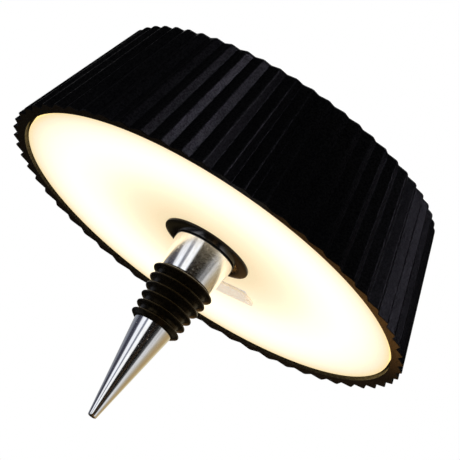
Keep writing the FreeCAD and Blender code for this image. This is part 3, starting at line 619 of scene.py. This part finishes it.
def rib_radius(k):
    """The radius of a rib's lip, counted down from the widest."""
    growth = (1 - k / (rib_count - 1)) ** rib_taper
    return bottom_rib_radius + (top_rib_radius - bottom_rib_radius) * growth


def sleeve_profile():
    bore = spigot_radius + spigot_gap
    points = [(bore, neck_low), (9.6, neck_low), (9.75, neck_low - 0.15)]
    for k in range(rib_count):
        lip = rib_radius(k)
        middle = top_rib_height - rib_pitch * k
        wall = lip - rib_depth
        if k > 0:
            points += [(wall + 0.15, middle + 1.35), (wall + 0.7, middle + 0.85)]
        points += arc((lip - rib_round, middle), rib_round, 75, -75, 6)
        points += [(wall + 0.7, middle - 0.85), (wall + 0.15, middle - 1.35)]
    foot = [(8.3, sleeve_low + 0.6), (7.6, sleeve_low + 0.15), (sleeve_foot, sleeve_low), (bore, sleeve_low)]
    return points[:-2] + foot + [(bore, neck_low)]


sleeve = lathe("sleeve_moulded", sleeve_profile(), 128, 45)
stand_in(sleeve, "stopper", rubber, "black_rubber", "rubber_sleeve")


def threaded_stud():
    """A rolled thread: one turn's closed ridge is swept up in a helix, and a plain core carries it."""
    end_radius = 3.0
    core_radius = 3.32
    chamfer = 0.4
    root = 3.2
    crest = 3.93
    core = lathe("stud_core", [(0.0, stud_low), (end_radius, stud_low), (core_radius, stud_low + chamfer),
                               (core_radius, stud_high - chamfer), (end_radius, stud_high),
                               (0.0, stud_high)], 48)
    ridge = profile_line("stud_ridge", [(root, stud_low + 0.3), (crest, stud_low + 0.72),
                                        (crest, stud_low + 0.88), (root, stud_low + 1.3),
                                        (root, stud_low + 0.3)])
    bpy.ops.mesh.select_all(action="SELECT")
    bpy.ops.mesh.remove_doubles(threshold=weld)
    bpy.ops.object.mode_set(mode="OBJECT")
    screw = ridge.modifiers.new("thread", "SCREW")
    screw.screw_offset = thread_pitch * mm
    screw.iterations = int((stud_high - stud_low - 1.6) / thread_pitch)
    screw.steps = 32
    screw.render_steps = 32
    screw.use_normal_calculate = True
    only(ridge)
    bpy.ops.object.modifier_apply(modifier=screw.name)
    stud = joined([core, ridge], "stud_threaded")
    only(stud)
    bpy.ops.object.mode_set(mode="EDIT")
    bpy.ops.mesh.select_all(action="SELECT")
    bpy.ops.mesh.remove_doubles(threshold=weld / 4)
    bpy.ops.mesh.fill_holes(sides=6)
    bpy.ops.mesh.normals_make_consistent(inside=False)
    bpy.ops.object.mode_set(mode="OBJECT")
    smooth(stud, 30)
    return stud


stand_in(threaded_stud(), "stopper", zinc, "plated_steel", "stud")

# Lamp head

flare = [(12.2 + 4.55 * t, collar_low + 0.72 * t ** 2.2) for t in (0.0, 0.2, 0.4, 0.6, 0.8, 1.0)]
collar_lip = 16.65
collar_profile = [(collar_bore, collar_low), (12.0, collar_low)] + flare
collar_profile += arc((collar_lip, collar_low + 0.92), 0.2, -60, 0, 3)
collar_profile += arc((collar_lip, diffuser_low - 0.2), 0.2, 0, 90, 3)
collar_profile += [(collar_shank, diffuser_low), (collar_shank, diffuser_high),
                   (collar_bore, diffuser_high), (collar_bore, collar_low)]
collar = lathe("collar_moulded", collar_profile, 160)
stand_in(collar, "head", satin_black, "collar_plastic", "collar")

ring_low = cover_high - 1.0
ring_edge = cover_high + 0.05
ring_round = 0.25
ring_profile = [(ring_bore, ring_low), (ring_radius, ring_low), (ring_radius, ring_edge)]
ring_profile += arc((ring_radius - ring_round, ring_edge), ring_round, 0, 90, 4)
ring_profile += arc((ring_bore + ring_round, ring_edge), ring_round, 90, 180, 4) + [(ring_bore, ring_low)]
ring = lathe("button_ring_turned", ring_profile, 96)
stand_in(ring, "head", satin_ring, "ring_metal", "button_ring")

cap_boss = 2.2
cap_edge = cover_high + 0.1
cap_round = 0.5
dish_radius = 7.6
dish_edge = cover_high + 0.42
dish_depth = 0.3
cap_profile = [(0.0, cap_low), (cap_boss, cap_low), (cap_boss, cap_flange_low), (cap_flange, cap_flange_low),
               (cap_flange, cap_flange_high), (cap_radius, cap_flange_high), (cap_radius, cap_edge)]
cap_profile += arc((cap_radius - cap_round, cap_edge), cap_round, 0, 90, 5)
cap_profile += [(8.6, cover_high + 0.58), (dish_radius, dish_edge)]
for share in (0.25, 0.5, 0.75, 1.0):
    cap_profile.append((dish_radius * (1 - share), dish_edge - dish_depth * math.sin(share * math.pi / 2)))
cap = lathe("button_cap_dished", cap_profile, 96, 30)
stand_in(cap, "button", button_black, "button_plastic", "button_cap")


def raised_edge():
    """Turns the picked underside into a slightly raised rim."""
    bpy.ops.mesh.inset(thickness=0.5 * mm, depth=0)
    bpy.ops.transform.translate(value=(0, 0, 0.12 * mm))


def flap_piece():
    """The flap: a soft plate with a rolled edge, a plug on its back and a small lip to pull."""
    plate = block("flap_moulded", (flap_wide, flap_long, flap_thick), (0, 0, diffuser_low - flap_drop))
    pick(plate, "EDGE", lambda middle, run: upright(run) and middle.y < 0 and middle.x < 0)
    bpy.ops.mesh.bevel(offset=5.4 * mm, segments=12, profile=0.5)
    pick(plate, "EDGE", lambda middle, run: upright(run) and middle.y < -8 and middle.x > 4)
    bpy.ops.mesh.bevel(offset=2.0 * mm, segments=8, profile=0.5)
    pick(plate, "FACE", lambda middle, normal: faces_down(normal))
    raised_edge()
    bpy.ops.mesh.inset(thickness=0.7 * mm, depth=0)
    bpy.ops.transform.translate(value=(0, 0, -0.12 * mm))
    plug_size = (1.9, 7.6, 1.3)
    plug = block("flap_plug", plug_size, (0, 0, diffuser_low + 0.45))
    pick(plug, "EDGE", lambda middle, run: upright(run))
    bpy.ops.mesh.bevel(offset=0.8 * mm, segments=4)
    lip_size = (3.0, 1.4, 0.75)
    lip = block("flap_lip", lip_size, (1.4, -7.2, diffuser_low - 1.12))
    pick(lip, "EDGE", lambda middle, run: middle.z < diffuser_low - 1.3 or upright(run))
    bpy.ops.mesh.bevel(offset=0.3 * mm, segments=3)
    flap = joined([plate, plug, lip], "flap_moulded")
    smooth(flap, 40)
    at_port(flap)
    return flap


def strap_piece():
    """The flap's fixed end, with the head of the peg that holds it in the diffuser."""
    plate = block("strap_moulded", (flap_wide, strap_long, flap_thick),
                  (0, strap_middle, diffuser_low - flap_drop))
    pick(plate, "EDGE", lambda middle, run: upright(run) and middle.y > strap_middle)
    bpy.ops.mesh.bevel(offset=1.5 * mm, segments=6)
    pick(plate, "FACE", lambda middle, normal: faces_down(normal))
    raised_edge()
    peg_low = diffuser_low - 0.2
    peg_high = diffuser_high + 0.8
    peg_radius = 1.0
    peg_chamfer = 0.2
    peg = lathe("strap_peg", [(0.0, peg_low), (peg_radius, peg_low), (peg_radius, peg_high - peg_chamfer),
                              (peg_radius - peg_chamfer, peg_high), (0.0, peg_high)], 24)
    place(peg, 0, strap_middle, 0)
    strap = joined([plate, peg], "strap_moulded")
    smooth(strap, 40)
    at_port(strap)
    return strap


stand_in(flap_piece(), "flap", silicone, "flap_silicone", "port_flap")
stand_in(strap_piece(), "head", silicone, "flap_silicone", "flap_strap")


def battery_cell(name, y):
    """A rolled steel can in film, with a crimped groove and a raised cap at its positive end."""
    corner = 0.6
    inner = cell_radius - corner
    groove = cell_radius - 0.45
    shoulder = cell_half - 0.9
    cap_edge = 3.6
    profile = [(0.0, -cell_half), (inner, -cell_half)] + arc((inner, corner - cell_half), corner, -90, 0, 4)
    profile += [(cell_radius, cell_half - 3.4), (groove, cell_half - 2.9), (groove, cell_half - 2.5),
                (cell_radius, cell_half - 2.0), (cell_radius, shoulder)]
    profile += arc((inner, shoulder), corner, 0, 90, 4)
    profile += [(4.6, cell_half - 0.3), (cap_edge, cell_half - 0.3), (cap_edge, cell_half), (0.0, cell_half)]
    cell = lathe(name, profile, 64)
    place(cell, 0, y, cell_top - cell_radius, math.radians(90 if y < 0 else -90), "Y")
    return cell


stand_in(battery_cell("cell_front_wrapped", -cell_aside), "head", film, "cell_wrap", "battery_cell_front")
stand_in(battery_cell("cell_back_wrapped", cell_aside), "head", film, "cell_wrap", "battery_cell_back")


def light_chips():
    """One chip, with its gel sunk in a rim, copied round the ring."""
    chip_middle = (0, 0, (chip_low + chip_high) / 2)
    chip = block("light_chip", (chip_long, chip_wide, chip_high - chip_low), chip_middle)
    pick(chip, "FACE", lambda middle, normal: faces_down(normal))
    bpy.ops.mesh.inset(thickness=0.45 * mm, depth=0)
    bpy.ops.mesh.extrude_region_move(TRANSFORM_OT_translate={"value": (0, 0, 0.12 * mm)})
    bpy.ops.object.mode_set(mode="OBJECT")
    chips = []
    for k in range(chip_count):
        each = copy_of(chip, "light_chip_%02d" % k)
        turn = 2 * math.pi * k / chip_count
        place(each, chip_circle * math.cos(turn), chip_circle * math.sin(turn), 0, turn)
        chips.append(each)
    bpy.data.objects.remove(chip)
    return joined(chips, "light_chips")


stand_in(light_chips(), "head", glowing_chip, "led_chip", "leds")


def capacitor(name, y):
    """A can with its crimped foot and rounded shoulder."""
    crimp = can_radius - 0.25
    shoulder = 0.45
    profile = [(0.0, can_low), (can_radius, can_low), (can_radius, can_low + 1.1), (crimp, can_low + 1.35),
               (crimp, can_low + 1.5), (can_radius, can_low + 1.75), (can_radius, can_high - shoulder)]
    profile += arc((can_radius - shoulder, can_high - shoulder), shoulder, 0, 90, 4)
    profile += [(1.9, can_high), (1.8, can_high - 0.1), (0.0, can_high - 0.1)]
    can = lathe(name, profile, 40)
    place(can, -1.0, y, 0)
    return can


cans = joined([capacitor("can_left", -5.0), capacitor("can_right", 5.0)], "capacitor_cans")
stand_in(cans, "head", sleeved_can, "capacitor_can", "capacitors")

# Nodes kept as they are, by material

kept = [
    (black_shade, ("shade", "top_cover")),
    (opal, ("diffuser",)),
    (white_tray, ("light_tray", "port_sleeve")),
    (fibre_nylon, ("centre_column",)),
    (nylon_washer, ("slip_washer",)),
    (cradle_black, ("battery_cradle_front", "battery_cradle_back")),
    (switch_black, ("tact_switch",)),
    (plunger_red, ("switch_plunger",)),
    (brass, ("threaded_insert",)),
    (nickel, ("battery_contacts",)),
    (drawn_steel, ("usb_socket",)),
    (green_mask, ("switch_board", "driver_board", "charge_board")),
    (white_mask, ("led_board",)),
    (ferrite, ("inductor",)),
    (chip_epoxy, ("driver_chips",)),
    (wire_red, ("battery_leads_plus", "led_leads")),
    (wire_black, ("battery_leads_minus", "charge_leads")),
    (wire_white, ("switch_leads",)),
    (zinc, ("cover_screws", "switch_screws", "collar_screws", "tray_screws", "column_screws",
            "led_board_screws", "driver_screws")),
]
for material, names in kept:
    for name in names:
        dress(nodes[name], material)

# Stage, light and camera

scene = bpy.context.scene
scene.view_settings.view_transform = "Standard"

# What polished metal mirrors near the horizon, by degrees round from the camera's side, towards the right
room_bands = [
    (-180, "#a9a8a4"), (-150, "#7f828c"), (-128, "#757a88"), (-108, "#2f313e"), (-92, "#363746"),
    (-84, "#454756"), (-76, "#e1e6f4"), (-58, "#e3e8f6"), (-54, "#6c7183"), (-46, "#707586"),
    (-41, "#ebeff9"), (-23, "#ebeff9"), (-17, "#100f12"), (14, "#0a0909"), (24, "#111111"), (38, "#494a4e"),
    (46, "#c9ccd5"), (58, "#c9ccd5"), (72, "#a9a6a4"), (84, "#9a907d"), (108, "#9a8563"), (128, "#a2906d"),
    (144, "#bdb194"), (180, "#c7c2b3"),
]
# A bar that darkens the bands above the horizon, by the same degrees
window_bar = [(-180, 1.0), (36, 1.0), (41.4, 0.16), (55.8, 0.16), (63, 1.0)]
bar_starts = (0.0, 0.03)
# What it mirrors low down in the middle, by the sine of the angle to the left or right
low_bands = [(-0.24, "#060505"), (-0.144, "#463c24"), (-0.08, "#342c1a"), (-0.024, "#0a0806"),
             (0.024, "#0a0806"), (0.08, "#745534"), (0.176, "#8a683c"), (0.28, "#060505")]
low_reach = 0.4
low_width = (0.42, 0.55)
low_starts = (-0.12, -0.03)
low_rise = -0.2         # lets the low zone reach further up behind the object
# Above the bands the room is dark, but for a pale panel in its ceiling
high_starts = (0.22, 0.36)
panel_direction = (0.0, 0.454, 0.891)
panel_edge = (0.92, 0.975)


def studio_world():
    """White behind the object, an even room for matt surfaces, and the room's bands for mirrors."""
    world = bpy.data.worlds.new("studio")
    world.use_nodes = True
    tree = world.node_tree
    tree.nodes.clear()
    path = node(tree, "ShaderNodeLightPath")
    direction = node(tree, "ShaderNodeTexCoord").outputs["Generated"]
    parts = node(tree, "ShaderNodeSeparateXYZ", links={0: direction})
    soft = {"interpolation_type": "SMOOTHSTEP"}

    forward = node(tree, "ShaderNodeMath", {"operation": "MULTIPLY"}, {1: -1.0}, {0: parts.outputs["Y"]})
    turn = node(tree, "ShaderNodeMath", {"operation": "ARCTAN2"},
                links={0: parts.outputs["X"], 1: forward.outputs[0]})
    around = node(tree, "ShaderNodeMapRange", values={"From Min": -math.pi, "From Max": math.pi},
                  links={"Value": turn.outputs[0]})
    bands = node(tree, "ShaderNodeValToRGB", links={"Fac": around.outputs["Result"]},
                 stops=[((degrees + 180) / 360, linear(colour)) for degrees, colour in room_bands])
    window = node(tree, "ShaderNodeValToRGB", links={"Fac": around.outputs["Result"]},
                  stops=[((degrees + 180) / 360, grey(level)) for degrees, level in window_bar])
    raised = node(tree, "ShaderNodeMapRange", soft, {"From Min": bar_starts[0], "From Max": bar_starts[1]},
                  {"Value": parts.outputs["Z"]})
    framed = node(tree, "ShaderNodeMix", {"data_type": "RGBA", "blend_type": "MULTIPLY"},
                  links={0: raised.outputs["Result"], 6: bands.outputs["Color"], 7: window.outputs["Color"]})

    behind = node(tree, "ShaderNodeMath", {"operation": "MAXIMUM"}, {1: 0.0}, {0: parts.outputs["Y"]})
    slope = node(tree, "ShaderNodeMath", {"operation": "MULTIPLY_ADD"}, {1: low_rise},
                 {0: behind.outputs[0], 2: parts.outputs["Z"]})
    below = node(tree, "ShaderNodeMapRange", soft,
                 {"From Min": low_starts[0], "From Max": low_starts[1], "To Min": 1.0, "To Max": 0.0},
                 {"Value": slope.outputs[0]})
    off_centre = node(tree, "ShaderNodeMath", {"operation": "ABSOLUTE"}, links={0: parts.outputs["X"]})
    central = node(tree, "ShaderNodeMapRange", soft,
                   {"From Min": low_width[0], "From Max": low_width[1], "To Min": 1.0, "To Max": 0.0},
                   {"Value": off_centre.outputs[0]})
    dim = node(tree, "ShaderNodeMath", {"operation": "MULTIPLY"},
               links={0: below.outputs["Result"], 1: central.outputs["Result"]})
    aside = node(tree, "ShaderNodeMapRange", values={"From Min": -low_reach, "From Max": low_reach},
                 links={"Value": parts.outputs["X"]})
    foot = node(tree, "ShaderNodeValToRGB", links={"Fac": aside.outputs["Result"]},
                stops=[(0.5 + sine / (2 * low_reach), linear(colour)) for sine, colour in low_bands])
    low = node(tree, "ShaderNodeMix", {"data_type": "RGBA"},
               links={0: dim.outputs[0], 6: framed.outputs[2], 7: foot.outputs["Color"]})

    above = node(tree, "ShaderNodeMapRange", soft, {"From Min": high_starts[0], "From Max": high_starts[1]},
                 {"Value": parts.outputs["Z"]})
    high = node(tree, "ShaderNodeMix", {"data_type": "RGBA"}, {7: linear("#0a0a0c")},
                {0: above.outputs["Result"], 6: low.outputs[2]})
    towards = node(tree, "ShaderNodeVectorMath", {"operation": "DOT_PRODUCT"}, {1: panel_direction},
                   {0: direction})
    panel = node(tree, "ShaderNodeMapRange", soft, {"From Min": panel_edge[0], "From Max": panel_edge[1]},
                 {"Value": towards.outputs["Value"]})
    roof = node(tree, "ShaderNodeMix", {"data_type": "RGBA"}, {7: linear("#d8dade")},
                {0: panel.outputs["Result"], 6: high.outputs[2]})

    room = node(tree, "ShaderNodeBackground", values={"Color": grey(1.0), "Strength": 0.95})
    seen = node(tree, "ShaderNodeBackground", values={"Color": grey(1.0), "Strength": 1.0})
    shine = node(tree, "ShaderNodeBackground", values={"Strength": 1.3}, links={"Color": roof.outputs[2]})
    glossy = node(tree, "ShaderNodeMixShader",
                  links={0: path.outputs["Is Glossy Ray"], 1: room.outputs[0], 2: shine.outputs[0]})
    through = node(tree, "ShaderNodeMath", {"operation": "MAXIMUM"},
                   links={0: path.outputs["Is Camera Ray"], 1: path.outputs["Is Transmission Ray"]})
    both = node(tree, "ShaderNodeMixShader",
                links={0: through.outputs[0], 1: glossy.outputs[0], 2: seen.outputs[0]})
    node(tree, "ShaderNodeOutputWorld", links={"Surface": both.outputs[0]})
    scene.world = world


def softbox(name, aim, direction, across, upwards, distance, wide, high, spread, power, colour):
    """A gridded softbox that stands off its aim in a direction, shifted across and upwards.

    Places and sizes are in mm, spread is in degrees and power in watts.
    """
    light = bpy.data.lights.new(name, "AREA")
    light.shape = "RECTANGLE"
    light.size = wide * mm
    light.size_y = high * mm
    light.spread = math.radians(spread)
    light.energy = power
    light.color = linear(colour)[:3]
    holder = bpy.data.objects.new(name, light)
    scene.collection.objects.link(holder)
    back = Vector(direction).normalized()
    side = Vector((-back.y, back.x, 0)).normalized()
    rise = back.cross(side)
    middle = Vector(aim) + back * distance + side * across + rise * upwards
    turned = Matrix((side, rise, back)).transposed().to_4x4()
    holder.matrix_world = Matrix.Translation(middle * mm) @ turned
    holder.visible_camera = False


studio_world()
# The two that light whole faces of the pleats, as in the photograph
softbox("left_softbox", (0, 0, 0), (0.2935, -0.555, 0.7775), -75, -10, 350, 70, 90, 8, 0.0052, "#ece6ff")
softbox("right_softbox", (0, 0, 0), (0.687, -0.159, 0.708), -25, -15, 350, 50, 90, 6, 0.0014, "#ece6ff")
# The warm glow on the rim's near corner
softbox("amber_card", (52, -42, 16), (0, 0.9553, -0.2957), 0, 0, 350, 78, 14, 3, 0.00009, "#ffb35c")
# A wide one that draws the pleats at the back
softbox("rear_softbox", (0, 0, 40), (-0.3, 0.9, 0.5), 0, 0, 900, 300, 300, 60, 0.03, "#ffffff")

floor_height = -0.75    # metres, under the camera
deselect()
bpy.ops.mesh.primitive_plane_add(size=1.0, location=(0, 0, floor_height))
floor = bpy.context.object
floor.name = "floor"
settle(floor)
dress(floor, backdrop_paper())
floor.visible_glossy = False

camera_data = bpy.data.cameras.new("camera")
camera_data.lens = 349.13
camera_data.sensor_width = 36.0
camera_data.clip_end = 20.0
camera_data.shift_x = -0.0011
camera_data.shift_y = 0.0011
camera = bpy.data.objects.new("camera", camera_data)
scene.collection.objects.link(camera)
camera_place = (0.00327, -1.4780, -0.43063)     # metres
right = Vector((0.82516, -0.16693, 0.53966))
up = Vector((-0.56489, -0.24385, 0.78831))
turned = Matrix((right, up, right.cross(up))).transposed().to_4x4()
camera.matrix_world = Matrix.Translation(camera_place) @ turned
scene.camera = camera
